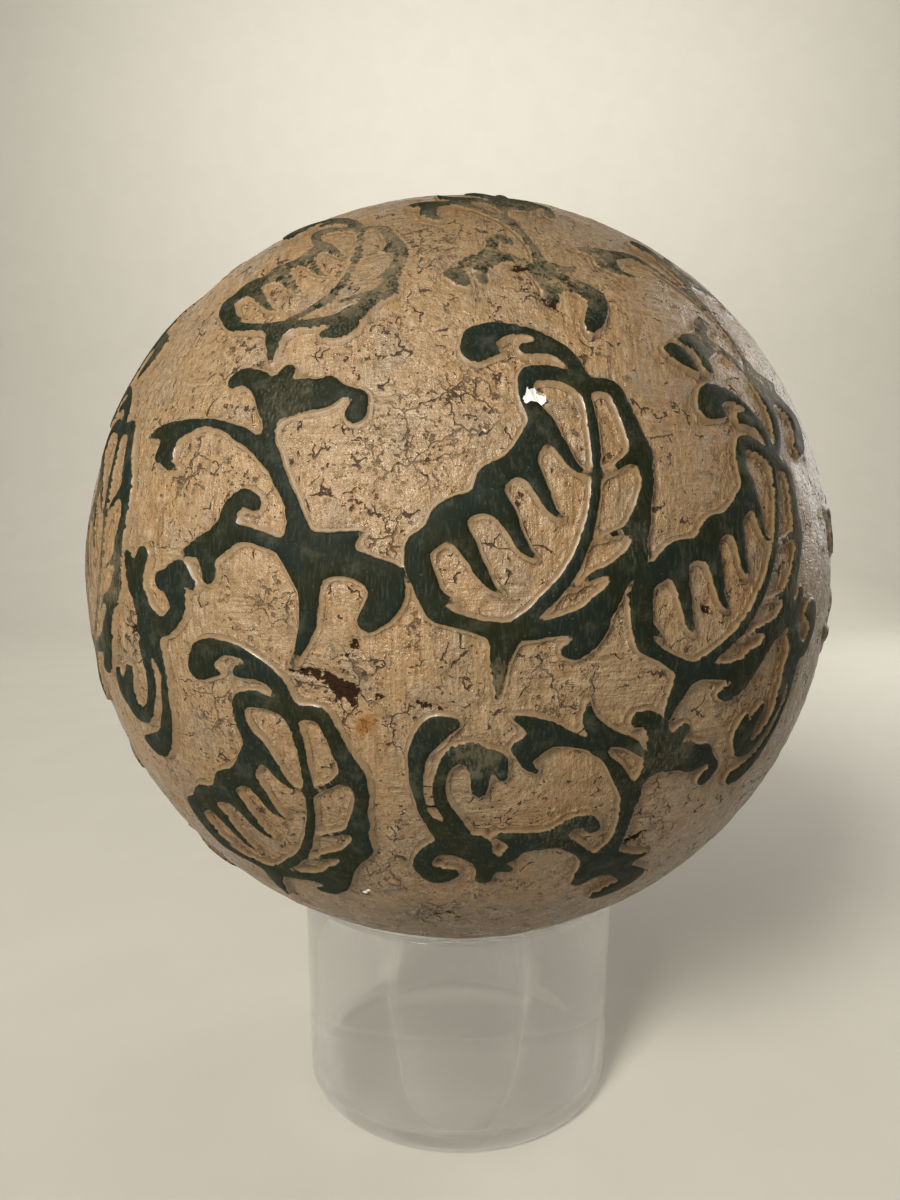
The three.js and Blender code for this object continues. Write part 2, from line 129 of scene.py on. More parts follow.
def branch_ribs(tail):
    """A branch ends in a long tail, or stops short at its palm and carries a leaflet on its twig."""
    tail_end = [(9, -33, 1.9), (4, -42.8, 0.4)] if tail else []
    leaflet = [] if tail else [
        [(-32, 27, 0.4), (-28, 22.5, 1.8), (-21, 20.8, 2.1), (-14, 20.8, 1.6), (-9, 19.3, 0.6)],
        [(-24, 20, 1.6), (-21, 17, 1.4)],
    ]
    return [
        [(-3, 19, 2.6), (-3.5, 12, 1.6), (-1.5, 6, 2.1), (2, 0.3, 1.9), (5, -5, 1.9), (7.5, -13, 3),
         (9.7, -24, 2.6), *tail_end],  # main stem
        [(-2, 6.5, 2.2), (-9, 11.3, 1.9), (-17, 15.2, 1.3), (-25, 17, 1.2), (-34, 16, 2.8), (-41, 16.6, 1.9),
         (-46, 16.3, 0.4)],  # twig with its pointed end
        [(-36, 15, 3), (-36.5, 10.5, 2.8), (-34.8, 7, 1.5), (-31, 5.8, 0.5)],  # drop under the twig's end
        [(-37, 12, 2.4), (-39.3, 10, 1.7)],  # lobe of the drop
        [(-4, 20, 3.2), (-9, 26, 2.9), (-14, 28.2, 2.2), (-16.7, 27.2, 2.2)],  # crown, left
        [(-4, 21, 3.2), (-1.5, 28, 2.2)],  # crown, middle
        [(-3, 19.5, 3.4), (3, 21, 3.8), (10, 22.1, 3.2), (15, 22.3, 1.5), (18.4, 20.5, 1.8), (18, 17, 2.6)],
        [(2, 20, 3), (3.6, 23.4, 2.6)],  # scallop of the crown
        [(9, 21, 3), (9.6, 24, 2.4)],  # the next one
        [(7, -15, 4), (14, -13.5, 2.7), (18, -12.6, 2), (22.5, -10.2, 0.4)],  # palm, pointed leaf
        [(9, -17, 4), (15, -16, 2), (20, -14.8, 0.4)],  # palm, barb
        [(9, -20, 3.6), (15, -18, 2.7), (22, -18.8, 2.6), (28, -22, 3.9), (27, -26.5, 3.8), (24, -30.3, 2.6)],
        [(22, -18, 2.2), (29, -20, 2.4)],  # palm, shoulder of the curl
        [(7, -17.5, 2.4), (2, -14.2, 1.7), (-5, -11.8, 1.8), (-10, -11.4, 2.2), (-15, -12.8, 3),
         (-21, -14.3, 2.4), (-26.5, -15.6, 0.5)],  # arm
        [(-15, -12.5, 3), (-18, -17, 2.5), (-17.6, -21, 2.2)],  # arm, lower lobe
        [(-13, -11, 2.6), (-11.8, -5.5, 2.3), (-8.5, -2.9, 2.2), (-5, -4.2, 2)],  # arm, upper curl
        [(-32.5, -20, 0.8), (-27.5, -20.3, 3), (-22.5, -24, 0.6)],  # loose bract
        *leaflet,
    ]


def scroll_ribs():
    return [
        [(-20.5, 19.4, 1.6), (-24.3, 17.8, 3.2), (-27.8, 12, 2.4), (-28.4, 5, 1.7), (-27.2, -1.5, 1.3),
         (-25.6, -6.5, 1.1), (-21, -12, 2.6), (-16, -16.5, 3), (-8, -22.5, 2.6), (-4, -25, 1.2)],
        [(-13.5, 1.8, 1.8), (-13.6, 7, 2.4), (-15.8, 11.5, 2.8), (-20.3, 10.6, 2.1), (-22.6, 5, 1.4),
         (-22.4, -1, 1.7), (-19.6, -6.5, 1.9), (-17, -12, 2.6)],  # inner curl
        [(-15, 11.5, 2.6), (-10, 10, 2.4), (-8.3, 6, 1.3)],  # lobe on the curl
        [(-18, -16, 3), (-23.5, -18, 2.2), (-25.5, -24, 2.4), (-22, -28, 3.3), (-18.3, -27, 2.2)],  # bud
        [(-10, -21, 2.4), (-9.8, -28.5, 2.2)],  # stub
    ]


# Placements: longitude (0 faces the front), latitude, turn, size, stretch sideways, lean.
LAYOUT = [
    (leaf_ribs(), [
        (7, 6, 0, 1, 1, 0),
        (30.6, 0.3, -11.4, 0.99, 1, 0.055),
        (-27.1, -28.9, -3, 1.017, 1.0325, 0.02),
        (-24.2, 37.9, 0.5, 0.833, 1.14, -0.244),
        (-58.8, 1.4, 3.6, 1.07, 1, 0),
        (106, 12, 0, 1, 1, 0),
        (150, -16, -5, 1, 1, 0),
        (196, 16, 0, 1, 1, 0),
        (242, -6, 5, 1, 1, 0),
    ]),
    (branch_ribs(tail=True), [
        (-20, 12, 0, 1, 1, 0),
        (43.4, 34.5, -17.4, 0.94, 0.95, -0.15),
        (78, -2, -14, 0.95, 1, 0),
        (-70, 42, 6, 0.95, 1, 0),
        (-78, -36, 0, 0.95, 1, 0),
        (144, 34, -10, 1, 1, 0),
        (204, -34, 0, 1, 1, 0),
        (248, 44, 0, 1, 1, 0),
    ]),
    (branch_ribs(tail=False), [
        (20.8, -26.6, -21.7, 0.97, 0.99, 0.16),
        (10.7, 47.7, -9.6, 0.83, 0.75, -0.12),
    ]),
    (scroll_ribs(), [
        (9, -22, 0, 1, 1, 0),
        (-50.8, -5.6, 151.7, 1.13, 1.05, 0),
        (35.8, -10.9, 150.8, 0.97, 0.9125, 0),
        (104, -36, 0, 1, 1, 0),
    ]),
]

# Splits and pits in the ground, as ribs at their places on the skin.
SPLITS = [
    ((-20, -20, 0, 1, 1, 0), [
        [(4, 27, 0.4), (9, 26.5, 0.9), (13, 25, 1.0), (16.5, 22.5, 1.2), (18.5, 18.5, 0.6)],
        [(13, 26, 0.5), (15, 22, 0.7), (14, 19.5, 0.3)],
        [(15, 24, 0.8), (22, 21.5, 0.6), (28, 19.6, 0.35), (34, 18.3, 0.5), (40, 17, 0.2)],
    ]),
    ((-11.3, -5.4, 0, 1, 1, 0), [[(-1.6, -1.6, 0.7), (1, 1.6, 1.2)]]),
    ((-20.3, -0.8, 0, 1, 1, 0), [[(-24, -1.2, 0), (-12, 0.6, 0.1), (0, 0.3, 0), (8, 1.2, 0)]]),
    ((9.6, 40.2, 0, 1, 1, 0), [[(-2.2, 0, 0.6), (0, 0.5, 0.9), (2.4, 0, 0.5)]]),
    ((12.1, 34.8, 0, 1, 1, 0), [[(-1, 2.4, 0.3), (0, -1, 0.8), (2.4, -3, 0.4)]]),
    ((-42.6, -5, 0, 1, 1, 0), [[(-3.4, 0, 0.4), (0, 1, 1.3), (3, -1, 0.6)]]),
    ((-2.8, -45.8, 0, 1, 1, 0), [[(-5, 1, 0.3), (0, 0, 0.9), (5, 1.4, 0.4)]]),
    ((28.2, -1.2, 0, 1, 1, 0), [[(-0.6, 0.9, 0.5), (0.6, -0.8, 0.8)]]),
    ((26.4, -30.7, 0, 1, 1, 0), [[(-4, -2, 0.4), (0, 0.6, 0.8), (5, 3, 0.4)]]),
]
RUST_AT = (-10.1, -13.3, 0)

# Chips that show the white body: one across a leaf's tip and a speck low on the front.
CHIPS = [
    ((7, 6, 0, 1, 1, 0), [[(1.2, 33.2, 0.7), (2.8, 34.2, 1.5), (4.6, 33.4, 1.1)]]),
    ((-14.7, -40.6, 0, 1, 1, 0), [[(-0.9, 0, 0.5), (0.9, 0.4, 0.4)]]),
]


def rib_segments(rib, steps=4):
    """Short straight segments along a rib: start, end, and the half width at both."""
    knots = np.array(rib, float)
    knots = np.vstack([2 * knots[0] - knots[1], knots, 2 * knots[-1] - knots[-2]])
    line = []
    for i in range(1, len(knots) - 2):
        a, b, c, d = knots[i - 1:i + 3]
        for t in np.arange(steps) / steps:
            line.append(0.5 * (2 * b + (c - a) * t + (2 * a - 5 * b + 4 * c - d) * t * t
                               + (3 * b - a - 3 * c + d) * t ** 3))
    line.append(knots[-2])
    return [np.concatenate([p, q]) for p, q in zip(line[:-1], line[1:])]


def distance_to_ribs(ribs, x, y):
    """How far each place lies outside the ribs, negative inside; ribs flow into each other."""
    joined = None
    for rib in ribs:
        gap = np.full(len(x), FAR * 4)
        for ax, ay, aw, bx, by, bw in rib_segments(rib):
            dx, dy = bx - ax, by - ay
            t = np.clip(((x - ax) * dx + (y - ay) * dy) / (dx * dx + dy * dy), 0, 1)
            np.minimum(gap, np.hypot(x - ax - t * dx, y - ay - t * dy) - (aw + t * (bw - aw)), out=gap)
        if joined is None:
            joined = gap
        else:
            near = np.maximum(CORNER_BLEND - np.abs(joined - gap), 0) / CORNER_BLEND
            joined = np.minimum(joined, gap) - near * near * CORNER_BLEND / 4
    return joined


def skin_axes(place):
    """Unit vectors at a place on the skin: outward, and the motif's own right and up."""
    longitude, latitude, turn = (math.radians(value) for value in place[:3])
    out = Vector((math.cos(latitude) * math.sin(longitude), -math.cos(latitude) * math.cos(longitude),
                  math.sin(latitude)))
    east = Vector((math.cos(longitude), math.sin(longitude), 0))
    north = out.cross(east)
    spun_east = east * math.cos(turn) + north * math.sin(turn)
    spun_north = north * math.cos(turn) - east * math.sin(turn)
    return np.array(out), np.array(spun_east), np.array(spun_north)


def distance_at_place(ribs, place, directions, best):
    """Lowers best to the distance from one motif, for the directions near it."""
    out, east, north = skin_axes(place)
    size, wide, lean = place[3:]
    reach = max(math.hypot(x, y) for rib in ribs for x, y, half in rib) * size * 1.3 + FAR
    cosine = directions @ out
    near = np.nonzero(cosine > math.cos(reach / BALL_RADIUS))[0]
    angle = np.arccos(np.clip(cosine[near], -1, 1))
    stretch = BALL_RADIUS * angle / np.maximum(np.sin(angle), 1e-9)
    across = directions[near] @ east * stretch / size
    up = directions[near] @ north * stretch / size * wide
    gap = distance_to_ribs(ribs, (across - lean * up) / wide, up) * size
    best[near] = np.minimum(best[near], gap)


def foliage_distance(directions):
    """How far each direction's point lies outside the foliage, in mm, negative inside it."""
    best = np.full(len(directions), FAR)
    for ribs, places in LAYOUT:
        for place in places:
            distance_at_place(ribs, place, directions, best)
    wobble = skin_noise(directions, 4.5, 2) * 0.3
    return np.clip(best + wobble, -FAR, FAR)


def skin_noise(directions, grain, octaves):
    """Smooth noise over the skin, about -1 to 1, with lumps of the given size in mm."""
    scale = BALL_RADIUS / grain
    return np.array([noise.fractal(Vector(d) * scale, 1.0, 2.0, octaves) for d in directions])


# --- Ball -----------------------------------------------------------------------------------

def deselect_all():
    for obj in bpy.context.selected_objects:
        obj.select_set(False)


def smooth_step(value, low, high):
    t = np.clip((value - low) / (high - low), 0, 1)
    return t * t * (3 - 2 * t)


def read_points(mesh):
    points = np.empty(len(mesh.vertices) * 3)
    mesh.vertices.foreach_get("co", points)
    return points.reshape(-1, 3)


def unit_rows(rows):
    return rows / np.linalg.norm(rows, axis=1)[:, None]


def refine_faces(obj, wanted):
    """Subdivides the faces for which wanted is true and rounds the result back to the sphere."""
    mesh = obj.data
    bpy.ops.object.mode_set(mode="EDIT")
    bpy.ops.mesh.select_mode(type="FACE")
    bpy.ops.mesh.select_all(action="DESELECT")
    bpy.ops.object.mode_set(mode="OBJECT")
    mesh.polygons.foreach_set("select", wanted)
    bpy.ops.object.mode_set(mode="EDIT")
    bpy.ops.mesh.subdivide(number_cuts=1)
    bpy.ops.mesh.select_all(action="SELECT")
    bpy.ops.mesh.quads_convert_to_tris(quad_method="BEAUTY", ngon_method="BEAUTY")
    bpy.ops.object.mode_set(mode="OBJECT")
    mesh.vertices.foreach_set("co", unit_rows(read_points(mesh)).ravel())


def face_corners(mesh):
    corners = np.empty(len(mesh.polygons) * 3, dtype=np.int64)
    mesh.polygons.foreach_get("vertices", corners)
    return corners.reshape(-1, 3)


def slide_to_outlines(directions, distance):
    """Moves skin points that lie close to a wall's top or foot onto it."""
    probe = 0.2
    reach = 0.45
    for level in (0.0, WALL_RUN):
        close = np.nonzero(np.abs(distance - level) < reach)[0]
        spot = directions[close]
        side = unit_rows(np.cross(spot, (0.3, 0.2, 0.93)))
        up = np.cross(spot, side)
        here = foliage_distance(spot)
        slope_side = (foliage_distance(unit_rows(spot + side * probe / BALL_RADIUS)) - here) / probe
        slope_up = (foliage_distance(unit_rows(spot + up * probe / BALL_RADIUS)) - here) / probe
        steep = np.maximum(slope_side ** 2 + slope_up ** 2, 0.3)
        uphill = side * slope_side[:, None] + up * slope_up[:, None]
        move = uphill * ((level - here) / steep)[:, None]
        directions[close] = unit_rows(spot + move / BALL_RADIUS)
    return directions


def make_ball():
    """A fine skin, denser along the foliage's walls, pushed in by the depth of the relief."""
    deselect_all()
    bpy.ops.mesh.primitive_ico_sphere_add(subdivisions=7, radius=1.0)
    ball = bpy.context.object
    ball.name = "foliage_ball"
    mesh = ball.data
    directions = unit_rows(read_points(mesh))
    distance = foliage_distance(directions)
    corners = face_corners(mesh)
    near_wall = (np.abs(distance[corners] - WALL_RUN / 2) < REFINED_BAND).any(axis=1)
    refine_faces(ball, near_wall)

    directions = unit_rows(read_points(mesh))
    directions = slide_to_outlines(directions, foliage_distance(directions))
    distance = foliage_distance(directions)
    crack = np.full(len(directions), FAR)
    for place, ribs in SPLITS:
        distance_at_place(ribs, place, directions, crack)
    crack += skin_noise(directions, 2.0, 2) * 0.5
    chip = np.full(len(directions), FAR)
    for place, ribs in CHIPS:
        distance_at_place(ribs, place, directions, chip)
    chip += skin_noise(directions, 1.5, 1) * 0.5

    wear = spots(directions, WORN)
    radius = BALL_RADIUS - relief_depth(directions, distance, wear, crack, chip)
    points = directions * (radius * MM)[:, None] + np.array((0, 0, BALL_CENTRE * MM))
    mesh.vertices.foreach_set("co", points.ravel())
    rust = BALL_RADIUS * np.arccos(np.clip(directions @ skin_axes(RUST_AT)[0], -1, 1))
    # The last layer holds painted shade with some dirt, darkest towards the bottom.
    for name, values in (("outline", distance), ("crack", crack), ("chip", chip), ("rust", rust),
                         ("wear", wear), ("trouble", spots(directions, TROUBLED)),
                         ("shade_and_dirt", spots(directions, SHADE_AND_DIRT_SPOTS))):
        layer = mesh.attributes.new(name, "FLOAT", "POINT")
        layer.data.foreach_set("value", values)
    mesh.update()
    ball.select_set(True)
    bpy.ops.object.shade_smooth()
    return ball


def relief_depth(directions, distance, wear, crack, chip):
    """Depth of the skin below the ball's full radius, in mm."""
    down = smooth_step(distance, -0.15, WALL_RUN + 0.1)
    edge = 0.16 * smooth_step(distance, -1.3, 0)
    crease = 0.28 * smooth_step(distance, WALL_RUN * 0.6, WALL_RUN)
    crease *= 1 - smooth_step(distance, WALL_RUN, 4)
    rough = 0.22 * skin_noise(directions, 9, 4) + 0.14 * skin_noise(directions, 3.2, 3)
    pits = smooth_step(skin_noise(directions, 3.6, 2), 0.45, 0.8) * 0.7
    worn_top = 0.07 * skin_noise(directions, 12, 3) + 0.85 * RELIEF * smooth_step(wear, 0.45, 0.95)
    out_of_round = 0.35 * skin_noise(directions, 90, 2)
    depth = TOP_CLEARANCE + out_of_round + edge + down * (RELIEF + rough + pits) + crease
    depth += (1 - down) * worn_top
    depth += SPLIT_DEPTH * (1 - smooth_step(crack, -0.4, 0.5))
    depth += CHIP_DEPTH * (1 - smooth_step(chip, -0.3, 0.4))
    return depth


# Cracked and pitted places: longitude, latitude, radius in mm and how strong they are.
TROUBLED = [
    (0.7, 21, 13, 1), (5, 25, 8, 1), (11, 37, 10, 1), (-6, 46.5, 12, 0.9), (-34, 15, 12, 1), (-43, -5, 13, 1),
    (-20, 0, 10, 0.7), (-7, 6, 11, 0.9), (-5, 17, 18, 0.75), (17, 0, 11, 0.9), (11, -9, 12, 0.8),
    (26, -31, 14, 1), (-3, -46, 15, 1), (-11, -36, 11, 0.8), (36, -12, 12, 0.8), (-13, -10, 15, 1),
    (-29, -13, 12, 0.8), (-43, -22, 11, 0.7), (110, 20, 20, 0.8), (170, -10, 24, 0.9), (225, 10, 22, 0.8),
]
# Places painted darker as shade, with some dirt: most of all the bottom, then the top and the sides away from
# the front-left light; in the same form.
SHADE_AND_DIRT_SPOTS = [(0, -90, 225, 1), (66, -24, 100, 0.85), (20, 78, 105, 0.75), (-80, -36, 90, 0.8), (140, 0, 130, 0.5),
         (45, 22, 80, 0.5)]


def spots(directions, places):
    """The strongest of some soft round spots at each direction, 0 to 1."""
    strength = np.zeros(len(directions))
    for longitude, latitude, radius, amount in places:
        out = skin_axes((longitude, latitude, 0))[0]
        gap = BALL_RADIUS * np.arccos(np.clip(directions @ out, -1, 1))
        strength = np.maximum(strength, amount * (1 - smooth_step(gap, radius * 0.35, radius)))
    return strength


# Worn places: longitude, latitude, radius in mm and how much of the dark finish has gone.
WORN = [
    (11, 46, 46, 0.9), (-18, 43, 44, 0.86), (47, 36, 48, 0.9), (-64, 2, 52, 0.93), (54, 6, 60, 0.58),
    (86, 5, 46, 0.72), (-48, 34, 26, 0.6), (3, -9, 12, 0.7), (2, -16, 12, 0.6),
    (27, -3, 9, 0.5), (25, -17, 16, 0.5), (14, -27, 14, 0.5), (-48, 2, 16, 0.7), (-20, 21, 14, 0.5),
    (19, 6, 8, 0.5), (150, 30, 40, 0.5), (220, 20, 40, 0.4),
    (69, 7, 22, 0.95), (68, -9, 20, 0.95), (-58, 51, 24, 0.95),
]


# --- Glass stand ------------------------------------------------------------------------------

def arc_points(centre_x, centre_z, radius, start, end, steps):
    angles = [math.radians(start + (end - start) * i / steps) for i in range(steps + 1)]
    return [(centre_x + radius * math.cos(a), centre_z + radius * math.sin(a)) for a in angles]


def stand_profile():
    """Half section from the middle of the underside, round the rim, to the middle of the floor."""
    base = RIM_RADIUS - BASE_TAPER
    rim = WALL / 2
    lift = 0.8  # the underside is slightly hollow inside its foot ring
    foot = base - HEEL_RADIUS
    profile = [(0, lift), (foot * 0.55, lift * 0.95), (foot * 0.85, lift * 0.5), (foot - 2.5, 0.05)]
    profile += arc_points(foot, HEEL_RADIUS, HEEL_RADIUS, -90, 0, 10)
    for share in (0.2, 0.4, 0.6, 0.8):
        profile.append((base + BASE_TAPER * share, HEEL_RADIUS + (STAND_HEIGHT - HEEL_RADIUS - rim) * share))
    profile += arc_points(RIM_RADIUS - rim, STAND_HEIGHT - rim, rim, 0, 180, 10)
    for share in (0.8, 0.6, 0.4, 0.2):
        profile.append((base - WALL + BASE_TAPER * share, FLOOR + (STAND_HEIGHT - FLOOR) * share))
    profile += arc_points(base - WALL - COVE_RADIUS, FLOOR + COVE_RADIUS, COVE_RADIUS, 0, -90, 7)
    profile += [(foot * 0.8, FLOOR - 0.1), (foot * 0.4, FLOOR + 0.15), (0, FLOOR + 0.2)]
    return profile


def make_stand():
    """The half section, spun once round the middle and closed."""
    deselect_all()
    mesh = bpy.data.meshes.new("clear_stand")
    profile = stand_profile()
    edges = [(i, i + 1) for i in range(len(profile) - 1)]
    mesh.from_pydata([(x * MM, 0, z * MM) for x, z in profile], edges, [])
    stand = bpy.data.objects.new("clear_stand", mesh)
    bpy.context.collection.objects.link(stand)
    bpy.context.view_layer.objects.active = stand
    stand.select_set(True)
    bpy.ops.object.mode_set(mode="EDIT")
    bpy.ops.mesh.select_all(action="SELECT")
    bpy.ops.mesh.spin(steps=STAND_SEGMENTS, angle=math.tau, center=(0, 0, 0), axis=(0, 0, 1))
    bpy.ops.mesh.select_all(action="SELECT")
    bpy.ops.mesh.remove_doubles(threshold=0.00002)
    bpy.ops.mesh.normals_make_consistent(inside=False)
    bpy.ops.object.mode_set(mode="OBJECT")
    bpy.ops.object.shade_smooth()
    return stand


# --- Materials --------------------------------------------------------------------------------

class Nodes:
    """A short way to write a material's node tree; grain and distance are in mm."""

    def __init__(self, name):
        self.material = bpy.data.materials.new(name)
        self.material.use_nodes = True
        self.tree = self.material.node_tree
        self.shader = self.tree.nodes["Principled BSDF"]
        coordinates = self.tree.nodes.new("ShaderNodeTexCoord")
        self.place = coordinates.outputs["Object"]

    def link(self, source, socket):
        if isinstance(source, bpy.types.NodeSocket):
            self.tree.links.new(source, socket)
        else:
            socket.default_value = source

    def add(self, kind, inputs, output=0, **settings):
        node = self.tree.nodes.new(kind)
        for key, value in settings.items():
            setattr(node, key, value)
        for key, value in inputs.items():
            self.link(value, node.inputs[key])
        return node.outputs[output]

    def moved(self, scale, turn=(0, 0, 0)):
        return self.add("ShaderNodeMapping", {"Vector": self.place, "Scale": scale, "Rotation": turn})

    def noise(self, grain, detail=4.0, roughness=0.55, distortion=0.0, vector=None):
        """Noise with lumps of the given size in mm."""
        return self.add("ShaderNodeTexNoise", {
            "Vector": vector or self.place, "Scale": 1 / (grain * MM), "Detail": detail,
            "Roughness": roughness, "Distortion": distortion})

    def roughened(self, grain, amount):
        """Noise about zero, to fray an edge by up to about half the amount in mm."""
        return self.math("MULTIPLY", self.math("SUBTRACT", self.noise(grain, 3), 0.5), amount)

    def noise_color(self, grain):
        node = self.tree.nodes.new("ShaderNodeTexNoise")
        self.link(self.place, node.inputs["Vector"])
        node.inputs["Scale"].default_value = 1 / (grain * MM)
        return node.outputs["Color"]

    def between(self, value, low, high, out_low=0.0, out_high=1.0):
        return self.add("ShaderNodeMapRange", {
            "Value": value, "From Min": low, "From Max": high, "To Min": out_low, "To Max": out_high},
            interpolation_type="SMOOTHSTEP")

    def math(self, kind, a, b=0.0):
        node = self.tree.nodes.new("ShaderNodeMath")
        node.operation = kind
        self.link(a, node.inputs[0])
        self.link(b, node.inputs[1])
        return node.outputs[0]

    def mix(self, factor, a, b, blend="MIX"):
        node = self.tree.nodes.new("ShaderNodeMix")
        node.data_type = "RGBA"
        node.blend_type = blend
        self.link(factor, node.inputs["Factor"])
        self.link(a, node.inputs[6])
        self.link(b, node.inputs[7])
        return node.outputs[2]

    def blend_value(self, factor, a, b):
        return self.add("ShaderNodeMix", {"Factor": factor, "A": a, "B": b})

    def crack_lines(self, vector, cell, width, where):
        """Thin broken lines between cells of the given size in mm."""
        gap = self.add("ShaderNodeTexVoronoi", {"Vector": vector, "Scale": 1 / (cell * MM)},
                       output="Distance", feature="DISTANCE_TO_EDGE")
        return self.math("MULTIPLY", self.between(gap, width, width * 0.3), where)

    def layer(self, name):
        node = self.tree.nodes.new("ShaderNodeAttribute")
        node.attribute_name = name
        return node.outputs["Fac"]

    def bump(self, height, distance, strength=1.0, normal=None):
        inputs = {"Height": height, "Distance": distance * MM, "Strength": strength}
        if normal:
            inputs["Normal"] = normal
        return self.add("ShaderNodeBump", inputs)


CLAY = (0.27, 0.182, 0.096, 1)
CLAY_WARM = (0.30, 0.180, 0.080, 1)
CLAY_GREY = (0.225, 0.175, 0.12, 1)
CLAY_PALE = (0.40, 0.305, 0.20, 1)
CLAY_DEEP = (0.13, 0.078, 0.036, 1)
WALL_CLAY = (0.20, 0.132, 0.066, 1)
STAIN = (0.022, 0.010, 0.005, 1)
PIT_BLACK = (0.016, 0.007, 0.003, 1)
# Painted shade with some dirt: multiplied into the ground where the ball turns away from the front-left
# light.
SHADE_AND_DIRT = (0.62, 0.60, 0.56, 1)
RUST = (0.22, 0.09, 0.012, 1)
WHITE_BODY = (0.85, 0.85, 0.83, 1)
LEAF_GREEN = (0.0095, 0.0122, 0.0048, 1)
LEAF_BLUE = (0.0085, 0.0140, 0.0098, 1)
LEAF_OLIVE = (0.019, 0.020, 0.008, 1)
LEAF_HAZE = (0.078, 0.077, 0.056, 1)
WORN_GREY = (0.12, 0.097, 0.06, 1)
FLOOR_PALE = (0.56, 0.545, 0.495, 1)
FLOOR_PALER = (0.57, 0.555, 0.505, 1)

# Fine relief of the ground, in mm.
COMB_HEIGHT = 0.38
CRUMB_HEIGHT = 0.90
GRIT_HEIGHT = 0.26
CRACK_DEPTH = 0.55
GROUND_LEVEL = 0.3
CRACK_WANDER = 5.0  # how far a crack strays from a cell's straight edge


def ball_material():
    m = Nodes("carved_ball")
    outline = m.layer("outline")
    wear = m.layer("wear")
    fray = m.roughened(1.2, m.between(wear, 0.2, 0.9, 0.4, 2.4))
    edge = m.math("ADD", outline, fray)
    foliage = m.between(edge, 0.12, -0.10)
    kept = m.math("SUBTRACT", 1.0, m.between(wear, 0.45, 0.9))
    wall = m.math("MULTIPLY", m.between(outline, 1.05, 0.75), m.between(edge, 0.0, 0.2))
    wall = m.math("MULTIPLY", wall, kept)
    crease_line = m.math("ADD", outline, m.roughened(1.6, 0.7))
    crease = m.math("MULTIPLY", m.between(crease_line, 0.85, 0.95), m.between(crease_line, 1.25, 1.05))
    broken = m.math("MULTIPLY", m.between(m.noise(5, 4), 0.42, 0.56, 0.15, 0.9), kept)
    crease = m.math("MULTIPLY", crease, broken)

    # Ground: buff body in soft patches, combed by tool marks.
    ground = m.mix(m.between(m.noise(38, 3), 0.36, 0.64), CLAY, CLAY_WARM)
    ground = m.mix(m.math("MULTIPLY", m.between(m.noise(17, 4, 0.6), 0.48, 0.68), 0.7), ground, CLAY_GREY)
    comb_a = m.noise(1.5, 3, 0.65, 0.5, m.moved((0.17, 0.17, 1.7), (0.5, 0.45, 0.2)))
    comb_b = m.noise(1.5, 3, 0.65, 0.5, m.moved((1.6, 1.6, 0.2), (0.2, -0.6, 0.6)))
    comb_c = m.noise(1.5, 3, 0.65, 0.5, m.moved((1.6, 0.2, 0.2), (0.3, 0.7, 0.9)))
    comb = m.blend_value(m.between(m.noise(30, 3), 0.38, 0.56), comb_a, comb_b)
    comb = m.blend_value(m.between(m.noise(37, 3), 0.47, 0.60), comb, comb_c)
    ground = m.mix(m.math("MULTIPLY", m.between(comb, 0.51, 0.64), 0.6), ground, CLAY_PALE)
    ground = m.mix(m.math("MULTIPLY", m.between(comb, 0.48, 0.35), 0.6), ground, CLAY_DEEP)
    grit = m.noise(0.75, 2, 0.6)
    ground = m.mix(m.math("MULTIPLY", m.between(grit, 0.44, 0.32), 0.4), ground, CLAY_DEEP)
    ground = m.mix(m.math("MULTIPLY", m.between(grit, 0.58, 0.70), 0.3), ground, CLAY_PALE)

    crumb = m.noise(2.8, 4, 0.65, 0.3)
    ground = m.mix(m.math("MULTIPLY", m.between(crumb, 0.48, 0.32), 0.4), ground, CLAY_DEEP)
    ground = m.mix(m.math("MULTIPLY", m.between(crumb, 0.54, 0.68), 0.4), ground, CLAY_PALE)

    # Dark marks: pits, clusters of pits, broken cracks and hairlines.
    in_trouble = m.layer("trouble")
    troubled = m.math("MAXIMUM", m.between(m.noise(19, 3), 0.50, 0.66), in_trouble)
    pits = m.between(m.noise(1.15, 2, 0.5), 0.69, 0.73)
    clusters = m.math("MULTIPLY", m.between(m.noise(2.1, 4, 0.7), 0.575, 0.63), troubled)
    wander = m.add("ShaderNodeVectorMath", {0: m.noise_color(3.5), 1: (CRACK_WANDER * MM,) * 3},
                   operation="MULTIPLY")
    warp = m.add("ShaderNodeVectorMath", {0: m.place, 1: wander}, operation="ADD")
    crack_zones = m.math("MAXIMUM", m.between(m.noise(5, 3), 0.54, 0.60), m.math("MULTIPLY", in_trouble, 0.8))
    cracks = m.crack_lines(warp, 11, 0.024, crack_zones)
    hair_zones = m.math("MAXIMUM", m.between(m.noise(23, 2), 0.55, 0.64), in_trouble)
    hair_zones = m.math("MULTIPLY", m.between(m.noise(3.2, 3), 0.52, 0.6), hair_zones)
    hairs = m.crack_lines(warp, 4.6, 0.045, hair_zones)
    dark = m.math("MAXIMUM", m.math("MAXIMUM", pits, clusters), m.math("MAXIMUM", cracks, hairs))
    dark = m.math("MULTIPLY", dark, m.between(outline, 0.9, 1.6))
    ground = m.mix(m.math("MULTIPLY", m.between(m.noise(7, 5, 0.7), 0.56, 0.72), 0.5), ground, CLAY_DEEP)
    ground = m.mix(m.math("MULTIPLY", wall, 0.6), ground, WALL_CLAY)
    stained = m.math("MAXIMUM", dark, m.math("MULTIPLY", crease, 0.7))
    ground = m.mix(m.math("MULTIPLY", stained, 0.9), ground, STAIN)
    # Painted shade with some dirt: the ground is darkened towards the bottom, over the top and on the sides.
    ground = m.mix(m.layer("shade_and_dirt"), ground, SHADE_AND_DIRT, "MULTIPLY")

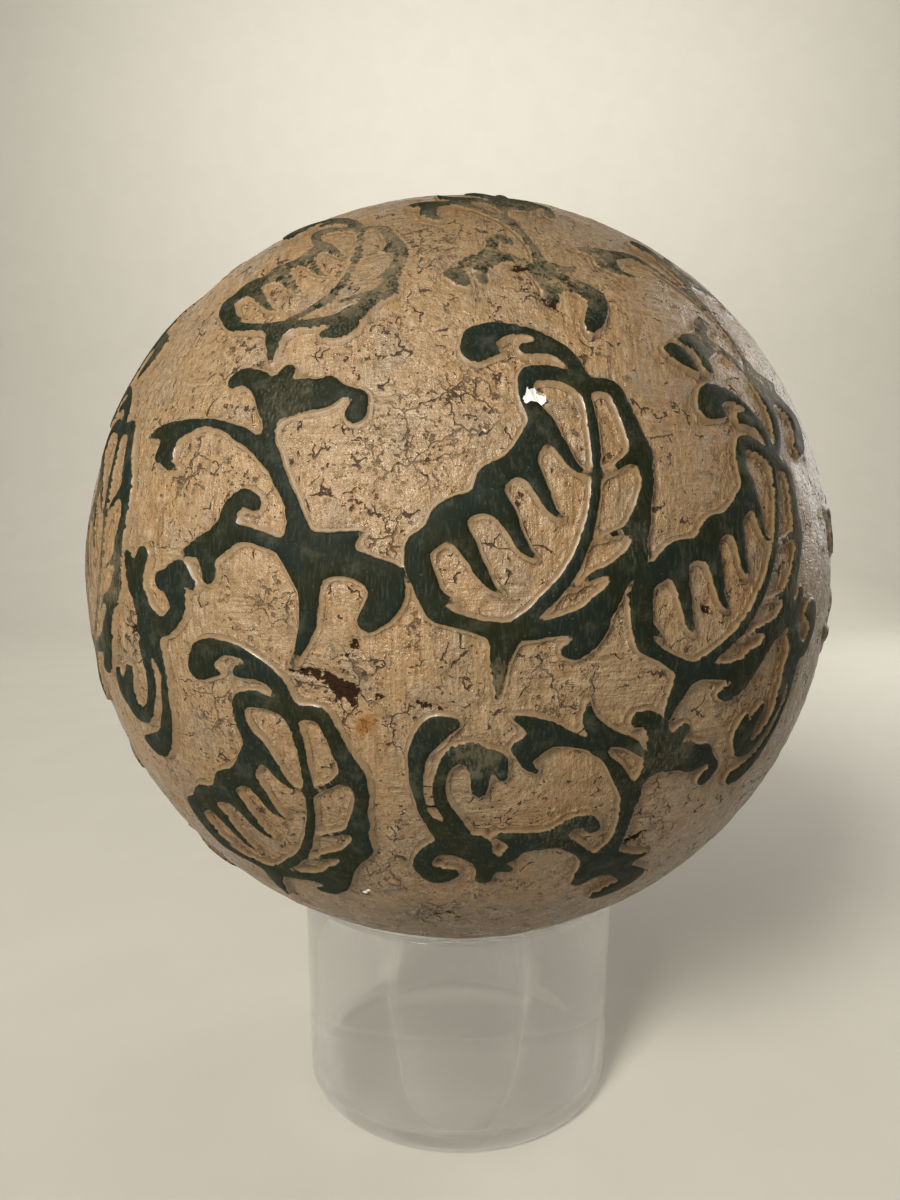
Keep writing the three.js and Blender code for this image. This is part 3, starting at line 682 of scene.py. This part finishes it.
    # Foliage: dark green-black, mottled, worn to a grey haze with fine scratches.
    leaf = m.mix(m.between(m.noise(22, 3), 0.42, 0.60), LEAF_GREEN, LEAF_BLUE)
    leaf = m.mix(m.math("MULTIPLY", m.between(m.noise(9, 4, 0.65), 0.5, 0.7), 0.8), leaf, LEAF_OLIVE)
    cloud = m.math("MULTIPLY", m.between(m.noise(6, 5, 0.7), 0.50, 0.70), m.between(wear, 0.0, 0.6, 0.5, 1.0))
    leaf = m.mix(m.math("MULTIPLY", cloud, 0.7), leaf, LEAF_HAZE)
    scratch = m.noise(0.9, 5, 0.7, 0.3, m.moved((1.5, 1.5, 0.22), (0.25, 0.15, 0)))
    rubbing = m.math("ADD", m.noise(5, 5, 0.75), m.math("MULTIPLY", scratch, 0.7))
    rubbed = m.math("MULTIPLY", m.between(wear, 0.35, 0.95), m.between(rubbing, 0.72, 0.92))
    streaks = m.math("MULTIPLY", m.between(scratch, 0.50, 0.68), m.between(wear, 0.0, 0.5, 0.3, 0.8))
    leaf = m.mix(streaks, leaf, LEAF_HAZE)
    leaf = m.mix(rubbed, leaf, WORN_GREY)
    leaf = m.mix(m.math("MULTIPLY", m.between(m.noise(0.8, 2), 0.70, 0.75), 0.7), leaf, LEAF_HAZE)
    lost = m.math("MULTIPLY", m.between(wear, 0.55, 1.0), m.between(m.noise(2.6, 5, 0.75), 0.52, 0.6))
    foliage = m.math("MULTIPLY", foliage, m.math("SUBTRACT", 1.0, m.math("MULTIPLY", lost, 0.8)))

    colour = m.mix(foliage, ground, leaf)
    split_edge = m.math("ADD", m.layer("crack"), m.roughened(1.3, 3.2))
    split = m.between(split_edge, 0.1, -0.2)
    colour = m.mix(m.math("MULTIPLY", split, 0.97), colour, PIT_BLACK)
    rust = m.between(m.math("ADD", m.layer("rust"), m.math("MULTIPLY", m.noise(3, 4), 5.0)), 6.4, 4.0)
    colour = m.mix(m.math("MULTIPLY", rust, 0.85), colour, RUST)
    chip_edge = m.math("ADD", m.layer("chip"), m.roughened(1.4, 2.0))
    chip_dirt = m.math("MULTIPLY", m.between(chip_edge, 1.6, 0.8), m.between(m.noise(1.8, 3), 0.48, 0.56))
    colour = m.mix(m.math("MULTIPLY", chip_dirt, 0.9), colour, PIT_BLACK)
    chip = m.between(chip_edge, 0.3, 0.1)
    colour = m.mix(chip, colour, WHITE_BODY)
    m.link(colour, m.shader.inputs["Base Color"])

    gloss = m.between(m.noise(11, 5, 0.7), 0.38, 0.62, 0.22, 0.40)
    leaf_gloss = m.between(m.noise(5, 5, 0.7), 0.3, 0.7, 0.5, 0.68)
    rough = m.blend_value(foliage, gloss, leaf_gloss)
    broken_ground = m.math("MAXIMUM", dark, split)
    matt = m.math("MAXIMUM", m.math("MULTIPLY", broken_ground, 0.85), m.math("MULTIPLY", wall, 0.5))
    m.link(m.math("MAXIMUM", rough, matt), m.shader.inputs["Roughness"])
    shine = m.shader.inputs["Specular IOR Level"]
    shine.default_value = 0.4
    m.link(m.blend_value(m.math("MAXIMUM", foliage, split), 0.46, 0.09), shine)

    # Relief of the bare ground in mm, faded out up the walls of the foliage.
    height = m.math("ADD", m.math("MULTIPLY", comb, COMB_HEIGHT), m.math("MULTIPLY", crumb, CRUMB_HEIGHT))
    height = m.math("ADD", height, m.math("MULTIPLY", grit, GRIT_HEIGHT))
    height = m.math("SUBTRACT", height, m.math("MULTIPLY", broken_ground, CRACK_DEPTH))
    height = m.math("SUBTRACT", height, GROUND_LEVEL)
    normal = m.bump(m.math("MULTIPLY", height, m.between(outline, 0.3, 1.1)), 1.0, 1.0)
    normal = m.bump(scratch, 0.04, 0.4, normal)
    m.link(normal, m.shader.inputs["Normal"])
    return m.material


def glass_material():
    m = Nodes("clear_glass")
    shader = m.shader
    shader.inputs["Base Color"].default_value = (0.97, 0.985, 0.98, 1)
    shader.inputs["Roughness"].default_value = 0.0
    shader.inputs["IOR"].default_value = 1.5
    shader.inputs["Transmission Weight"].default_value = 1.0
    shader.inputs["Alpha"].default_value = 0.5
    ripple = m.bump(m.noise(28, 2), 0.12, 0.35)
    m.link(ripple, shader.inputs["Normal"])
    return m.material


# --- Floor, light and camera ------------------------------------------------------------------

SWEEP_RADIUS = 0.7  # of the curve from floor to wall, in metres
SWEEP_STEPS = 12
SWEEP_RISE = 2.5  # height of the wall over the curve, in metres
FLOOR_SIZE = 7.0


def make_floor():
    """A pale floor that sweeps up behind the piece."""
    deselect_all()
    bpy.ops.mesh.primitive_plane_add(size=FLOOR_SIZE, location=(0, -2.2, 0))
    bpy.ops.transform.resize(value=(4, 1, 1))
    bpy.ops.object.transform_apply(location=True, rotation=False, scale=True)
    floor = bpy.context.object
    floor.name = "floor"
    bpy.ops.object.mode_set(mode="EDIT")
    bpy.ops.mesh.select_all(action="DESELECT")
    bpy.ops.mesh.select_mode(type="EDGE")
    bpy.ops.object.mode_set(mode="OBJECT")
    for edge in floor.data.edges:
        edge.select = all(floor.data.vertices[i].co.y > 1 for i in edge.vertices)
    bpy.ops.object.mode_set(mode="EDIT")
    turn = math.pi / 2 / SWEEP_STEPS
    stretch = 2 * SWEEP_RADIUS * math.sin(turn / 2)
    for step in range(SWEEP_STEPS):
        angle = (step + 0.5) * turn
        bpy.ops.mesh.extrude_region_move(TRANSFORM_OT_translate={
            "value": (0, stretch * math.cos(angle), stretch * math.sin(angle))})
    bpy.ops.mesh.extrude_region_move(TRANSFORM_OT_translate={"value": (0, 0, SWEEP_RISE)})
    bpy.ops.object.mode_set(mode="OBJECT")
    bpy.ops.object.shade_smooth()
    m = Nodes("pale_floor")
    m.link(m.mix(m.between(m.noise(60, 3), 0.4, 0.6), FLOOR_PALE, FLOOR_PALER), m.shader.inputs["Base Color"])
    m.shader.inputs["Roughness"].default_value = 0.7
    floor.data.materials.append(m.material)
    return floor


def area_light(name, energy, colour, size, place, target):
    data = bpy.data.lights.new(name, "AREA")
    data.energy = energy
    data.color = colour
    data.shape = "RECTANGLE"
    data.size, data.size_y = size
    lamp = bpy.data.objects.new(name, data)
    lamp.location = place
    lamp.rotation_euler = (Vector(target) - Vector(place)).to_track_quat("-Z", "Y").to_euler()
    bpy.context.collection.objects.link(lamp)
    return lamp


def make_lights():
    centre = (0, 0, BALL_CENTRE * MM)
    area_light("window_front", 36, (1.0, 0.95, 0.86), (0.42, 0.6), (-0.67, -1.25, 0.98), centre)
    area_light("window_right", 8, (1.0, 0.98, 0.94), (1.0, 1.0), (1.2, 0.75, 0.7), centre)
    area_light("backdrop_light", 20, (1.0, 0.96, 0.89), (2.0, 1.0), (0.1, 0.9, 1.5), (0.15, 2.1, 0.7))
    world = bpy.data.worlds.new("studio")
    world.use_nodes = True
    sky = world.node_tree.nodes["Background"]
    sky.inputs["Color"].default_value = (0.95, 0.89, 0.77, 1)
    sky.inputs["Strength"].default_value = 0.22
    bpy.context.scene.world = world
    bpy.context.scene.view_settings.view_transform = "Standard"


CAMERA_BACK = 310.3  # from the ball's axis, mm
CAMERA_OVER_CENTRE = 16.4  # above the ball's centre, mm
CAMERA_PITCH = 4.9  # downward, degrees
CAMERA_LENS = 25.8  # on a 36 mm sensor
CAMERA_SHIFT = -0.007


def make_camera():
    data = bpy.data.cameras.new("camera")
    data.lens = CAMERA_LENS
    data.sensor_width = 36
    data.shift_x = CAMERA_SHIFT
    camera = bpy.data.objects.new("camera", data)
    camera.location = (0, -CAMERA_BACK * MM, (BALL_CENTRE + CAMERA_OVER_CENTRE) * MM)
    camera.rotation_euler = (math.radians(90 - CAMERA_PITCH), 0, 0)
    bpy.context.collection.objects.link(camera)
    bpy.context.scene.camera = camera


make_camera()
make_lights()
make_floor()

ball = make_ball()
ball.data.materials.append(ball_material())
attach(ball, "root")
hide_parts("ball")

stand = make_stand()
stand.data.materials.append(glass_material())
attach(stand, "root")
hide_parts("glass_stand")
